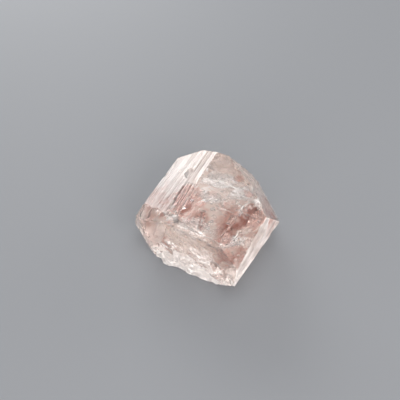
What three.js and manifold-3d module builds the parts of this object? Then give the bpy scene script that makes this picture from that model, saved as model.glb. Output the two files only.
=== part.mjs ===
// A topaz crystal, lying on one of its prism faces.
// The crystal frame: across (to the right), along (the c axis, pointing away), up.
// Every size is in millimetres and every corner below is [across, along, up].
import * as THREE from "three";
import { mergeVertices } from "three/addons/utils/BufferGeometryUtils.js";
import Module from "manifold-3d";

const wasm = await Module();
wasm.setup();

// ---- driving dimensions ----
const THICKNESS = 16;              // resting face to the clear prism face on top
const AXIS_TURN = 25;              // degrees from +Y to the c axis, seen from above
const PRISM_ENDS = [-30, 30];      // the prism before its ends are cut
const PRISM_RIGHT = 17;            // the prism before its right wall is cut

// Corners of the prism section, [across, up].
const RIDGE = [-4.15, THICKNESS];        // clear top face meets the striated face
const LEFT_SHOULDER = [-13.7, 12.8];
const LEFT_WAIST = [-16.3, 5.5];
const LEFT_FOOT = [-9, 0];

// Growth ledges, each [distance from the first corner, depth].
const RISER_WIDTH = 0.14;
const STRIATED_LEDGES = [
  [0.35, 0.1], [1.25, 0.16], [1.75, 0.12], [2.45, 0.2], [2.95, 0.1], [4.1, 0.14], [5.0, 0.1],
  [5.7, 0.16], [6.9, 0.12], [7.6, 0.1], [8.7, 0.16], [9.4, 0.1],
];
const LEFT_WALL_LEDGES = [[1.4, 0.16], [3.1, 0.22], [4.2, 0.12], [6.1, 0.2]];
const UNDERSIDE_LEDGES = [[1.6, 0.2], [3.4, 0.14], [6.2, 0.24]];

// Corners shared by the flat faces that close the prism.
const FAR_TIP = [-0.9, 14.6, THICKNESS];
const DOME_TOP = [9.1, 6.0, THICKNESS];
const DOME_WAIST = [7.9, 16.5, 6.4];
const RIGHT_TOP = [14.9, -1.2, THICKNESS];
const RIGHT_HORN = [15.2, 9.9, 4.0];
const NEAR_HORN = [12.9, -13.8, 4.8];

// The flat faces, each through three of its points.
const FACES = {
  basal: [FAR_TIP, [-4.15, 14.6, THICKNESS], [-2, 18.2, 9]],
  farLeftBevel: [[-8.5, 15.2, 14.5], [-13.24, 12.1, 12.9], [-9.5, 15.5, 8]],
  upperDome: [FAR_TIP, DOME_TOP, [6.6, 16.9, 8]],
  rightDome: [DOME_TOP, RIGHT_TOP, RIGHT_HORN],
  lowerRightDome: [RIGHT_HORN, DOME_WAIST, [4, 14, 0]],
  lowerFarDome: [DOME_WAIST, [0, 19.3, 9], [4, 14, 0]],
  rightWall: [RIGHT_HORN, NEAR_HORN, RIGHT_TOP],
  rightUnderside: [RIGHT_HORN, NEAR_HORN, [8.5, -3, 0]],
  cleavage: [[-5, -11.2, THICKNESS], NEAR_HORN, [-3.9, -11.5, 0]],
  nearFoot: [[-6, -11.4, 0], [5, -11.6, 0], NEAR_HORN],
  nearLeftCorner: [[-15.1, -7.4, 4.6], [-9.3, -10.3, 0.2], [-13.2, -9.9, 11.5]],
  nearLeftBevel: [[-14.0, -5.8, 12.7], [-7.4, -8.6, 14.9], [-13.2, -9.6, 11.8]],
  nearRightBevel: [[8.5, -13.6, THICKNESS], [14.1, -5.0, THICKNESS], [13.3, -13.5, 11]],
};
const UPPER_DOME_LEDGES = [[1.1, 0.14], [2.3, 0.2], [3.7, 0.16], [5.6, 0.2]];
const RIGHT_WALL_LEDGES = [[0.8, 0.16], [5.4, 0.12]];

// Shell-shaped scars of the broken near end: middle [across, up] on the cleavage, the mouth's
// width and height, its lean in degrees, and the depth.
const SCARS = [
  { at: [-12.4, 4.6], mouth: [6.0, 7.6], lean: 20, depth: 0.9 },
  { at: [-8.6, 1.6], mouth: [7.0, 4.8], lean: -25, depth: 1.0 },
  { at: [-8.2, 6.2], mouth: [7.6, 4.6], lean: -40, depth: 0.5 },
  { at: [-4.6, 3.4], mouth: [5.4, 6.6], lean: 30, depth: 0.8 },
  { at: [-1.6, 0.4], mouth: [6.8, 4.6], lean: -8, depth: 1.2 },
  { at: [-0.6, 5.2], mouth: [8.2, 4.4], lean: -30, depth: 0.6 },
  { at: [3.2, 2.8], mouth: [5.8, 6.8], lean: 15, depth: 0.9 },
  { at: [5.8, 6.6], mouth: [8.6, 4.8], lean: -45, depth: 0.6 },
  { at: [7.4, 2.4], mouth: [5.6, 4.4], lean: 25, depth: 0.9 },
  { at: [10.6, 5.2], mouth: [4.6, 6.4], lean: 10, depth: 0.8 },
  { at: [6.6, 11.6], mouth: [5.2, 9.0], lean: 35, depth: 0.5 },
  { at: [10.8, 9.8], mouth: [3.6, 6.0], lean: 30, depth: 0.5 },
  { at: [1.6, 10.4], mouth: [7.0, 5.0], lean: -20, depth: 0.4 },
];
// Small chips out of the sharp edges: centre and radius.
const CHIPS = [
  [[2.9, 12.0, 17.0], 1.6], [[6.9, 8.6, 17.1], 1.7], [[9.6, 6.5, 17.1], 1.8],
  [[12.8, 2.2, 17.0], 1.5], [[15.4, -0.9, 16.9], 1.3], [[12.0, -9.2, 17.1], 1.6],
  [[3.3, -13.5, 16.7], 1.4], [[-14.5, 4.9, 13.6], 1.5], [[-14.6, -5.9, 13.3], 1.2],
  [[15.9, 10.6, 3.8], 1.3], [[-17.2, 2.0, 5.2], 1.2], [[-17.1, -3.6, 5.3], 1.1],
];
const SCAR_SEGMENTS = [24, 18];
const CHIP_SEGMENTS = [14, 10];
const SCAR_MOUTH_ANGLE = 50;       // degrees from a scar ball's deepest point to its mouth

// Hollows in the two upper prism faces, [across, along], across measured from the ridge.
const ETCH_PIT = { depth: 0.55, outline: [[-4.9, 5.4], [-4.6, 7.9], [-3.1, 7.7], [-2.6, 5.2], [-3.4, 3.8]] };
const ETCH_TERRACE = {
  depth: 0.3,
  outline: [[-2.9, 2.6], [-1.5, 1.6], [-0.2, 0.4], [-0.2, -20], [-4.6, -20], [-4.5, -8.4], [-3.7, -3.1]],
};
const CLEFT = { depth: 0.9, outline: [[5.0, -5.6], [5.9, -5.1], [6.4, -7.4], [7.3, -11.0], [6.7, -11.4]] };

const MIDDLE = new THREE.Vector3(0, 0, THICKNESS / 2);
const BLOCK = 90;                  // side of a cutting block, larger than the crystal
const HOLLOW_CLEARANCE = 3;        // how far a hollow's cutter stands above the face

// ---- shape helpers ----
/** Closed THREE geometry to a manifold solid. */
function solidOf(geometry) {
  const bare = geometry.index ? geometry.toNonIndexed() : geometry.clone();
  bare.deleteAttribute("normal");
  bare.deleteAttribute("uv");
  const merged = mergeVertices(bare, 1e-5);
  return new wasm.Manifold(new wasm.Mesh({
    numProp: 3,
    vertProperties: new Float32Array(merged.attributes.position.array),
    triVerts: new Uint32Array(merged.index.array),
  }));
}

/** Manifold solid back to a flat-shaded THREE geometry. */
function geometryOf(solid) {
  const mesh = solid.getMesh();
  const geometry = new THREE.BufferGeometry();
  geometry.setAttribute("position", new THREE.BufferAttribute(new Float32Array(mesh.vertProperties), 3));
  geometry.setIndex(new THREE.BufferAttribute(new Uint32Array(mesh.triVerts), 1));
  const flat = geometry.toNonIndexed();
  flat.computeVertexNormals();
  return flat;
}

/** Section points from corner a to just before corner b, stepping in at each growth ledge. */
function striated(a, b, ledges) {
  const from = new THREE.Vector2(...a);
  const along = new THREE.Vector2(...b).sub(from).normalize();
  const inward = new THREE.Vector2(-along.y, along.x);
  const points = [from.clone()];
  for (const [distance, depth] of ledges) {
    points.push(from.clone().addScaledVector(along, distance));
    points.push(from.clone().addScaledVector(along, distance + RISER_WIDTH).addScaledVector(inward, depth));
  }
  return points;
}

/** The uncut prism: its section carried along the c axis. */
function prism() {
  const outline = [
    ...striated(RIDGE, LEFT_SHOULDER, STRIATED_LEDGES),
    ...striated(LEFT_SHOULDER, LEFT_WAIST, LEFT_WALL_LEDGES),
    ...striated(LEFT_WAIST, LEFT_FOOT, UNDERSIDE_LEDGES),
    new THREE.Vector2(...LEFT_FOOT),
    new THREE.Vector2(PRISM_RIGHT, 0),
    new THREE.Vector2(PRISM_RIGHT, THICKNESS),
  ];
  const depth = PRISM_ENDS[1] - PRISM_ENDS[0];
  const geometry = new THREE.ExtrudeGeometry(new THREE.Shape(outline), { depth, bevelEnabled: false });
  geometry.rotateX(Math.PI / 2);
  geometry.translate(0, PRISM_ENDS[1], 0);
  return solidOf(geometry);
}

/** The plane through three corners, facing away from the crystal's middle. */
function planeOf(corners) {
  const points = corners.map((corner) => new THREE.Vector3(...corner));
  const plane = new THREE.Plane().setFromCoplanarPoints(...points);
  return plane.distanceToPoint(MIDDLE) > 0 ? plane.negate() : plane;
}

/** A block whose flat side lies on the face's plane, on the side away from the middle. */
function blockBeyond(corners) {
  const plane = planeOf(corners);
  const block = new THREE.BoxGeometry(BLOCK, BLOCK, BLOCK);
  block.translate(0, 0, BLOCK / 2);
  block.applyQuaternion(new THREE.Quaternion().setFromUnitVectors(new THREE.Vector3(0, 0, 1), plane.normal));
  const foot = plane.projectPoint(MIDDLE, new THREE.Vector3());
  block.translate(foot.x, foot.y, foot.z);
  return solidOf(block);
}

/** Wedges that step a face in at each growth ledge, and rise again to the face by the next one. */
function ledgeWedges(corners, ledges) {
  const [start, end, beyond] = corners.map((corner) => new THREE.Vector3(...corner));
  const normal = planeOf(corners).normal;
  const edge = end.clone().sub(start).normalize();
  const across = normal.clone().cross(edge);
  if (across.dot(beyond.clone().sub(start)) < 0) {
    edge.negate();
    across.negate();
  }
  return ledges.map(([distance, depth], index) => {
    const next = index + 1 < ledges.length ? ledges[index + 1][0] : distance * 2;
    const wedge = new THREE.BoxGeometry(BLOCK, BLOCK, BLOCK);
    wedge.translate(0, BLOCK / 2, BLOCK / 2);
    wedge.rotateX(Math.atan2(depth, next - distance));
    wedge.translate(0, distance, -depth);
    wedge.applyMatrix4(new THREE.Matrix4().makeBasis(edge, across, normal));
    wedge.translate(start.x, start.y, start.z);
    return solidOf(wedge);
  });
}

/** The flattened ball that leaves a shell-shaped scar in the cleavage. */
function scarBall({ at: [across, up], mouth: [width, height], lean, depth }) {
  const plane = planeOf(FACES.cleavage);
  const along = -(plane.constant + plane.normal.x * across + plane.normal.z * up) / plane.normal.y;
  const rim = Math.sin(THREE.MathUtils.degToRad(SCAR_MOUTH_ANGLE));
  const rise = Math.cos(THREE.MathUtils.degToRad(SCAR_MOUTH_ANGLE));
  const thickness = depth / (1 - rise);
  const geometry = new THREE.SphereGeometry(1, ...SCAR_SEGMENTS);
  geometry.scale(width / 2 / rim, thickness, height / 2 / rim);
  geometry.rotateY(THREE.MathUtils.degToRad(lean));
  geometry.translate(0, -thickness * rise, 0);
  geometry.rotateZ(Math.atan2(plane.normal.x, -plane.normal.y));
  geometry.translate(across, along, up);
  return solidOf(geometry);
}

/** The ball that leaves a chip in an edge. */
function chipBall([centre, radius]) {
  const geometry = new THREE.SphereGeometry(radius, ...CHIP_SEGMENTS);
  geometry.translate(...centre);
  return solidOf(geometry);
}

/** A hollow of even depth in a prism face that slopes down from the ridge by the given angle. */
function hollow({ depth, outline }, slope) {
  const shape = new THREE.Shape(outline.map((point) => new THREE.Vector2(...point)));
  const geometry = new THREE.ExtrudeGeometry(shape, { depth: depth + HOLLOW_CLEARANCE, bevelEnabled: false });
  geometry.translate(0, 0, -depth);
  geometry.rotateY(-slope);
  geometry.translate(RIDGE[0], 0, RIDGE[1]);
  return solidOf(geometry);
}

// ---- the crystal ----
function crystal() {
  const slope = Math.atan2(RIDGE[1] - LEFT_SHOULDER[1], RIDGE[0] - LEFT_SHOULDER[0]);
  const cutters = [
    ...Object.values(FACES).map(blockBeyond),
    ...ledgeWedges(FACES.upperDome, UPPER_DOME_LEDGES),
    ...ledgeWedges(FACES.rightWall, RIGHT_WALL_LEDGES),
    ...SCARS.map(scarBall),
    ...CHIPS.map(chipBall),
    hollow(ETCH_PIT, slope),
    hollow(ETCH_TERRACE, slope),
    hollow(CLEFT, 0),
  ];
  return cutters.reduce((rest, cutter) => rest.subtract(cutter), prism());
}

const clearTopaz = new THREE.MeshStandardMaterial({
  color: new THREE.Color(0.9, 0.82, 0.79),
  roughness: 0.08,
  metalness: 0,
  transparent: true,
  opacity: 0.45,
});

const geometry = geometryOf(crystal());
geometry.rotateZ(-THREE.MathUtils.degToRad(AXIS_TURN));
geometry.computeBoundingBox();
const middle = geometry.boundingBox.getCenter(new THREE.Vector3());

const topaz = new THREE.Mesh(geometry, clearTopaz);
topaz.name = "topaz_crystal";
topaz.position.set(-middle.x, -middle.y, -geometry.boundingBox.min.z);

const part = new THREE.Group();
part.name = "topaz";
part.add(topaz);

export default part;
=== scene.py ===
"""A clear, faintly pink topaz crystal lying on one of its prism faces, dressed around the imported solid.

Lengths are in millimetres in the crystal's own frame, [across, along the c axis, up], until a mesh is
placed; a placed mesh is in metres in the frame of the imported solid.
"""

import logging
import math
from dataclasses import dataclass, field
from enum import Enum
from itertools import product

import bpy
import numpy as np
from mathutils import Matrix, Vector


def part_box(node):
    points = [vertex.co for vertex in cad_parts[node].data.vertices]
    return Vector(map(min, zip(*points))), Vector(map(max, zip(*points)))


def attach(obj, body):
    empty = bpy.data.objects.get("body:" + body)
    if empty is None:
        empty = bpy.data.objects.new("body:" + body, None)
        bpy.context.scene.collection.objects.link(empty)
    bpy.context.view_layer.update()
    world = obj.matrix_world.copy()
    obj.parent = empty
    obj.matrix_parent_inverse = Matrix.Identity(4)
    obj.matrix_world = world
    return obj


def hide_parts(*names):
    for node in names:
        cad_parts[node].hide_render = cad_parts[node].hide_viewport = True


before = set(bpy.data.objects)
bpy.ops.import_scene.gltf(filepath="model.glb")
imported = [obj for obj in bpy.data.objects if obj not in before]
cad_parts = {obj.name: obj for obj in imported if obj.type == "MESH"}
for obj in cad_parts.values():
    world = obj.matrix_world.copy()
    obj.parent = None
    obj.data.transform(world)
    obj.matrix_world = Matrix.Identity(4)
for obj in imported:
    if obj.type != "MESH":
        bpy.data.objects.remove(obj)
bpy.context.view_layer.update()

Array = np.ndarray
Corner = tuple[float, float, float]
Point2 = tuple[float, float]

log = logging.getLogger("topaz")
MM = 0.001
# Keeps a divisor off 0.
TINY = 1e-9
NODE = "topaz_crystal"


# ---------------------------------------------------------------- number fields


def unit(vectors: Array) -> Array:
    """Vectors scaled to length one, along their last axis."""
    return vectors / np.linalg.norm(vectors, axis=-1, keepdims=True)


def eased(values: Array, low: float, high: float) -> Array:
    """A step from 0 at low to 1 at high that starts and ends level: 3x^2 - 2x^3.

    Args:
        values: Numbers of any shape.
        low: Where the step starts.
        high: Where the step ends; it may be below low, for a falling step.

    Returns:
        The step's height at each value.
    """
    share = np.clip((values - low) / (high - low), 0.0, 1.0)
    return share * share * (3.0 - 2.0 * share)


def terraced(height: Array, step: float) -> Array:
    """A height made of level steps with short steep risers, never below 0."""
    count = np.floor(height / step)
    return np.maximum(step * (count + eased(height / step - count, 0.7, 1.0)), 0.0)


@dataclass
class Noise:
    """A smooth random field: random values on a cubic lattice, blended from corner to corner.

    Args:
        seed: The random seed of the lattice.
    """

    seed: int
    side: int = 32
    table: Array = field(init=False)

    def __post_init__(self) -> None:
        """Draws the lattice values, from -1 to 1."""
        self.table = np.random.default_rng(self.seed).uniform(-1.0, 1.0, (self.side,) * 3)

    def at(self, points: Array, size: float | Corner) -> Array:
        """The field at points, with features of a size.

        Args:
            points: Places, xyz along the last axis.
            size: Feature size, one for all axes or one each.

        Returns:
            Values from -1 to 1.
        """
        places = points / np.asarray(size)
        cell = np.floor(places).astype(int)
        part = places - cell
        part = part * part * (3.0 - 2.0 * part)
        total = np.zeros(points.shape[:-1])
        for corner in product((0, 1), repeat=3):
            weight = np.prod(np.where(corner, part, 1.0 - part), axis=-1)
            x, y, z = np.moveaxis((cell + np.array(corner)) % self.side, -1, 0)
            total += weight * self.table[x, y, z]
        return total

    def rough(self, points: Array, size: float, octaves: int = 4) -> Array:
        """The field summed over octaves, each half as large and half as strong as the last.

        Args:
            points: Places, xyz along the last axis.
            size: Size of the largest features.
            octaves: How many are summed.

        Returns:
            Values of about -1 to 1.
        """
        layers = [self.at(points + 7.3 * k, size / 2**k) / 2**k for k in range(octaves)]
        return np.sum(layers, axis=0)


def distance_to_line(places: Array, knots: Array) -> Array:
    """Distance of places from a line of straight pieces.

    Args:
        places: Places [..., 2].
        knots: The line's corners [n, 2].

    Returns:
        Distances [...].
    """
    nearest = np.full(places.shape[:-1], np.inf)
    for a, b in zip(knots, knots[1:]):
        side = b - a
        share = np.clip(((places - a) @ side) / (side @ side), 0.0, 1.0)
        gap = np.linalg.norm(places - a - share[..., None] * side, axis=-1)
        nearest = np.minimum(nearest, gap)
    return nearest


def ball_entry(
    rays: Array, start: Array, turn: Array, radii: Array, centre: Array, reach: Array
) -> Array:
    """Where rays that end inside an egg-shaped hollow first meet it.

    The egg is a unit ball scaled, turned and moved; a ray start + t ray meets it where t solves a
    quadratic. A ray that ends outside the egg keeps its reach.

    Args:
        rays: Unit rays [..., 3].
        start: Where all rays start.
        turn: The egg's axes as the columns of a matrix.
        radii: The egg's three radii.
        centre: The egg's middle.
        reach: How far each ray runs.

    Returns:
        The new reach of each ray.
    """
    direction = (rays @ turn) / radii
    offset = ((start - centre) @ turn) / radii
    a = np.sum(direction**2, axis=-1)
    b = direction @ offset
    c = offset @ offset - 1.0
    inside = b * b - a * c
    root = np.sqrt(np.maximum(inside, 0.0))
    near, far = (-b - root) / a, (-b + root) / a
    return np.where((inside > 0) & (near < reach) & (reach < far), near, reach)


def turned_about(axis: int, angle: float) -> Array:
    """A right-handed rotation matrix.

    Args:
        axis: The number of the axis that it turns about.
        angle: The angle in radians.

    Returns:
        The matrix, which turns columns.
    """
    c, s = math.cos(angle), math.sin(angle)
    i, j = (axis + 1) % 3, (axis + 2) % 3
    matrix = np.eye(3)
    matrix[i, i], matrix[i, j], matrix[j, i], matrix[j, j] = c, -s, s, c
    return matrix


def ledge_profile(ledges: tuple[Point2, ...], riser: float, end: float) -> Array:
    """The profile of growth ledges: it steps in at each ledge and rises straight to the next one.

    Args:
        ledges: The distance and the depth of each ledge.
        riser: The width of each step.
        end: Where the profile is back at the face.

    Returns:
        The profile's corners as two rows, distance and depth.
    """
    knots = [(0.0, 0.0)]
    for distance, depth in ledges:
        knots += [(distance, 0.0), (distance + riser, depth)]
    return np.array([*knots, (end, 0.0)]).T


# ---------------------------------------------------------------- the crystal's form


@dataclass(frozen=True)
class Facet:
    """A flat face, given by three of its corners, and how white with frost it is."""

    name: str
    corners: tuple[Corner, Corner, Corner]
    frost: float = 0.0

    def plane(self, inside: Array) -> tuple[Array, float]:
        """The face's plane.

        Args:
            inside: A point inside the crystal, which the normal faces away from.

        Returns:
            The unit normal, and the plane's distance from the origin along it.
        """
        a, b, c = (np.array(corner) for corner in self.corners)
        normal = unit(np.cross(b - a, c - a))
        if normal @ (inside - a) > 0:
            normal = -normal
        return normal, float(normal @ a)


THICKNESS = 16.0
RIDGE: Point2 = (-4.15, THICKNESS)
LEFT_SHOULDER: Point2 = (-13.7, 12.8)
LEFT_WAIST: Point2 = (-16.3, 5.5)
LEFT_FOOT: Point2 = (-9.0, 0.0)
RIGHT_FOOT: Point2 = (8.7, 0.0)
RIGHT_WAIST: Point2 = (14.2, 4.4)
RIGHT_SHOULDER: Point2 = (14.8, THICKNESS)
AXIS_TURN = math.radians(25)
# The crystal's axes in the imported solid's frame, one a row.
AXES = turned_about(2, AXIS_TURN)

FAR_TIP: Corner = (-0.9, 14.6, THICKNESS)
DOME_TOP: Corner = (9.1, 6.0, THICKNESS)
DOME_WAIST: Corner = (7.9, 16.5, 6.4)
DOME_FOOT: Corner = (4.0, 14.0, 0.0)
RIGHT_TOP: Corner = (14.9, -1.2, THICKNESS)
RIGHT_HORN: Corner = (15.2, 9.9, 4.0)
NEAR_HORN: Corner = (12.9, -13.8, 4.8)

FACETS = (
    Facet("top", ((0, 0, THICKNESS), (1, 0, THICKNESS), (0, 1, THICKNESS)), 0.03),
    Facet("resting", ((0, 0, 0), (1, 0, 0), (0, 1, 0)), 1.6),
    Facet("basal", (FAR_TIP, (RIDGE[0], FAR_TIP[1], THICKNESS), (-2.0, 18.2, 9.0)), 0.08),
    Facet("far_left_bevel", ((-8.5, 15.2, 14.5), (-13.24, 12.1, 12.9), (-9.5, 15.5, 8.0)), 0.3),
    Facet("upper_dome", (FAR_TIP, DOME_TOP, (6.6, 16.9, 8.0)), 0.25),
    Facet("right_dome", (DOME_TOP, RIGHT_TOP, RIGHT_HORN), 0.16),
    Facet("lower_right_dome", (RIGHT_HORN, DOME_WAIST, DOME_FOOT), 0.6),
    Facet("lower_far_dome", (DOME_WAIST, (0.0, 19.3, 9.0), DOME_FOOT), 0.6),
    Facet("right_wall", (RIGHT_HORN, NEAR_HORN, RIGHT_TOP), 0.7),
    Facet("right_underside", (RIGHT_HORN, NEAR_HORN, (8.5, -3.0, 0.0)), 0.5),
    Facet("cleavage", ((-5.0, -11.2, THICKNESS), NEAR_HORN, (-3.9, -11.5, 0.0)), 0.1),
    Facet("near_foot", ((-6.0, -11.4, 0.0), (5.0, -11.6, 0.0), NEAR_HORN), 0.2),
    Facet("near_left_corner", ((-15.1, -7.4, 4.6), (-9.3, -10.3, 0.2), (-13.2, -9.9, 11.5)), 0.02),
    Facet("near_left_bevel", ((-14.0, -5.8, 12.7), (-7.4, -8.6, 14.9), (-13.2, -9.6, 11.8)), 0.06),
    Facet(
        "near_right_bevel",
        ((8.5, -13.6, THICKNESS), (14.1, -5.0, THICKNESS), (13.3, -13.5, 11.0)),
        0.12,
    ),
)
NUMBER = {facet.name: number for number, facet in enumerate(FACETS)}
# The ledged prism faces count together as one more face.
WALL = len(FACETS)
UPPER_DOME_LEDGES: tuple[Point2, ...] = ((1.1, 0.14), (2.3, 0.2), (3.7, 0.16), (5.6, 0.2))
RIGHT_WALL_LEDGES: tuple[Point2, ...] = ((0.8, 0.16), (5.4, 0.12))
DOME_RISER = 0.25


@dataclass(frozen=True)
class Stretch:
    """A straight side of the prism's outline, with its growth ledges as [distance, depth].

    A wall is one of the ledged prism faces, and the columns of the surface grid follow its ledges.
    """

    start: Point2
    end: Point2
    spacing: float
    ledges: tuple[Point2, ...] = ()
    riser: float = 0.14
    wall: bool = True
    frost: float = 0.5
    lines: float = 0.04

    def points(self) -> Array:
        """Points along the ledged side, from its start to just before its end.

        Returns:
            Points [across, up].
        """
        start, end = np.array(self.start), np.array(self.end)
        length = float(np.linalg.norm(end - start))
        along = (end - start) / length
        inward = np.array([-along[1], along[0]])
        run, depth = ledge_profile(self.ledges, self.riser, length)
        counts = np.ceil(np.diff(run) / self.spacing).astype(int)
        steps = [np.linspace(a, b, n, endpoint=False) for a, b, n in zip(run, run[1:], counts)]
        place = np.concatenate(steps)
        sunk = np.interp(place, run, depth)
        return start + place[:, None] * along + sunk[:, None] * inward

    def plane(self) -> tuple[Array, float]:
        """The plane through the side's ends, parallel to the c axis.

        Returns:
            The unit normal, and the plane's distance from the origin along it.
        """
        start, end = np.array(self.start), np.array(self.end)
        along = unit(end - start)
        normal = np.array([along[1], 0.0, -along[0]])
        return normal, float(normal @ np.array([start[0], 0.0, start[1]]))


STRIATED = Stretch(
    RIDGE,
    LEFT_SHOULDER,
    0.1,
    (
        (0.35, 0.1), (1.25, 0.16), (1.75, 0.12), (2.45, 0.2), (2.95, 0.06), (3.4, 0.03), (4.1, 0.05),
        (4.5, 0.03), (5.0, 0.03), (5.7, 0.06), (6.1, 0.03), (6.5, 0.03), (6.9, 0.05), (7.6, 0.03),
        (8.1, 0.03), (8.7, 0.06), (9.1, 0.03), (9.5, 0.04),
    ),
    riser=0.11,
    frost=0.56,
    lines=0.05,
)  # fmt: skip
LEFT_WALL = Stretch(
    LEFT_SHOULDER, LEFT_WAIST, 0.25, ((1.4, 0.16), (3.1, 0.22), (4.2, 0.12), (6.1, 0.2))
)
UNDERSIDE = Stretch(LEFT_WAIST, LEFT_FOOT, 0.34, ((1.6, 0.2), (3.4, 0.14), (6.2, 0.24)), riser=0.34)
STRETCHES = (
    STRIATED,
    LEFT_WALL,
    UNDERSIDE,
    Stretch(LEFT_FOOT, RIGHT_FOOT, 0.5, wall=False),
    Stretch(RIGHT_FOOT, RIGHT_WAIST, 0.4, wall=False),
    Stretch(RIGHT_WAIST, RIGHT_SHOULDER, 0.3, wall=False),
    Stretch(RIGHT_SHOULDER, RIDGE, 0.25, wall=False),
)


@dataclass
class CrystalBody:
    """The flat-faced body: the ledged prism cut by its end faces, seen from a point inside it.

    Every surface point lies where a ray from the middle first meets a face. A column of the grid is a
    half-plane through the c axis, so on the prism faces it is a line parallel to that axis. What lies
    inside the crystal keeps a clearance from its faces.
    """

    middle: Corner = (0.0, 2.0, 8.0)
    rows: int = 216
    fine_rows: int = 1500
    clearance: float = 0.16
    wall_clearance: float = 0.5
    beyond: float = 1000.0
    least_closing: float = 1e-6

    def __post_init__(self) -> None:
        """Works out the planes, the prism's own sides last, and the columns."""
        self.origin = np.array(self.middle)
        walls = [stretch.plane() for stretch in STRETCHES if stretch.wall]
        planes = [facet.plane(self.origin) for facet in FACETS] + walls
        self.all_normals = np.array([normal for normal, _ in planes])
        self.all_offsets = np.array([offset for _, offset in planes])
        self.normals, self.offsets = self.all_normals[:WALL], self.all_offsets[:WALL]
        parts = [stretch.points() for stretch in STRETCHES]
        outline = np.concatenate(parts)
        self.stretch = np.concatenate([np.full(len(part), k) for k, part in enumerate(parts)])
        spoke = outline - self.origin[[0, 2]]
        reach = np.linalg.norm(spoke, axis=1)
        self.spokes = spoke / reach[:, None]
        is_wall = np.array([stretch.wall for stretch in STRETCHES])[self.stretch]
        self.reach = np.where(is_wall, reach, self.beyond)

    def directions(self, angles: Array) -> Array:
        """Unit rays from the middle, one row of angles from the far pole for each column.

        Args:
            angles: Angles from the far end of the c axis, [columns, rows].

        Returns:
            Rays [columns, rows, 3].
        """
        sine, cosine = np.sin(angles), np.cos(angles)
        across = self.spokes[:, :1] * sine
        up = self.spokes[:, 1:] * sine
        return np.stack([across, cosine, up], axis=-1)

    def distances(self, rays: Array) -> Array:
        """How far each ray runs from the middle to the first face.

        Args:
            rays: Unit rays [columns, rows, 3].

        Returns:
            Distances [columns, rows].
        """
        gap = self.offsets - self.normals @ self.origin
        closing = rays @ self.normals.T
        met = gap / np.maximum(closing, self.least_closing)
        flat = np.where(closing > self.least_closing, met, np.inf).min(axis=-1)
        outward = np.hypot(rays[..., 0], rays[..., 2])
        return np.minimum(flat, self.reach[:, None] / np.maximum(outward, TINY))

    def heights(self, points: Array) -> Array:
        """How far points stand above each face, 0 on it and below 0 inside.

        Args:
            points: Places [columns, rows, 3].

        Returns:
            Heights [columns, rows, faces], the ledged prism wall last.
        """
        flat = points @ self.normals.T - self.offsets
        outward = np.hypot(points[..., 0] - self.origin[0], points[..., 2] - self.origin[2])
        wall = outward - self.reach[:, None]
        return np.concatenate([flat, wall[..., None]], axis=-1)

    def flat_heights(self, points: Array) -> Array:
        """How far points stand above each flat face and above each prism face without its ledges."""
        return points @ self.all_normals.T - self.all_offsets

    def held_inside(self, points: Array) -> Array:
        """Draws points that come too near the surface back towards the middle.

        Args:
            points: Places [..., 3].

        Returns:
            The points, each at least the clearance below every face.
        """
        is_flat = np.arange(len(self.all_offsets)) < WALL
        depth = np.where(is_flat, self.clearance, self.wall_clearance)
        gap = self.all_offsets - depth - self.all_normals @ self.origin
        closing = np.maximum((points - self.origin) @ self.all_normals.T, TINY)
        share = np.minimum((gap / closing).min(axis=-1), 1.0)
        return self.origin + (points - self.origin) * share[..., None]

    def own_normals(self, own: Array) -> Array:
        """The normal of the face that each grid point belongs to.

        Args:
            own: Face numbers [columns, rows], the ledged wall last.

        Returns:
            Unit normals [columns, rows, 3].
        """
        wall = np.minimum(WALL + self.stretch, len(self.all_normals) - 1)
        return self.all_normals[np.where(own == WALL, wall[:, None], own)]

    def grid(self) -> Array:
        """Surface points spaced evenly along each column, with the faces' edges on grid points.

        Returns:
            Points [columns, rows, 3]; the first and last rows are the two poles.
        """
        fine = np.tile(np.linspace(0.0, np.pi, self.fine_rows), (len(self.reach), 1))
        rays = self.directions(fine)
        points = rays * self.distances(rays)[..., None]
        steps = np.linalg.norm(np.diff(points, axis=1), axis=-1)
        run = np.pad(np.cumsum(steps, axis=1), ((0, 0), (1, 0)))
        share = run / run[:, -1:]
        lane = 2.0 * np.arange(len(fine))[:, None]
        wanted = np.linspace(0.0, 1.0, self.rows)[None, :] + lane
        angles = np.interp(wanted.ravel(), (share + lane).ravel(), fine.ravel()).reshape(wanted.shape)
        angles[:, 0], angles[:, -1] = 0.0, np.pi
        rays = self.directions(angles)
        points = self.origin + rays * self.distances(rays)[..., None]
        return self.with_edges(points)

    def with_edges(self, points: Array) -> Array:
        """Moves each point that has an edge close by onto it.

        Between neighbours on two faces the edge lies where both faces are equally high above the line
        that joins them; the nearer neighbour moves there and then out to the surface along its ray.

        Args:
            points: Surface points [columns, rows, 3].

        Returns:
            The points, moved.
        """
        heights = self.heights(points)
        own = heights.argmax(axis=-1)
        nearest = np.full(own.shape, 0.5)
        moved = points.copy()
        inner = np.zeros(own.shape, bool)
        inner[:, 1:-1] = True
        for axis, step in ((1, 1), (1, -1), (0, 1), (0, -1)):
            neighbour = np.roll(points, step, axis)
            other = np.roll(own, step, axis)
            there = np.take_along_axis(np.roll(heights, step, axis), own[..., None], -1)[..., 0]
            here = np.take_along_axis(heights, other[..., None], -1)[..., 0]
            share = -here / np.maximum(-here - there, TINY)
            usable = inner & (own != other) & (share < nearest)
            if axis == 0:
                usable &= (own != WALL) & (other != WALL)
            target = points + share[..., None] * (neighbour - points)
            moved = np.where(usable[..., None], target, moved)
            nearest = np.where(usable, share, nearest)
        rays = unit(moved - self.origin)
        return self.origin + rays * self.distances(rays)[..., None]


@dataclass(frozen=True)
class Scar:
    """A shell-shaped scar in the cleavage: middle [across, up], mouth, lean in degrees and depth."""

    at: Point2
    mouth: Point2
    lean: float
    depth: float


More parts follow.
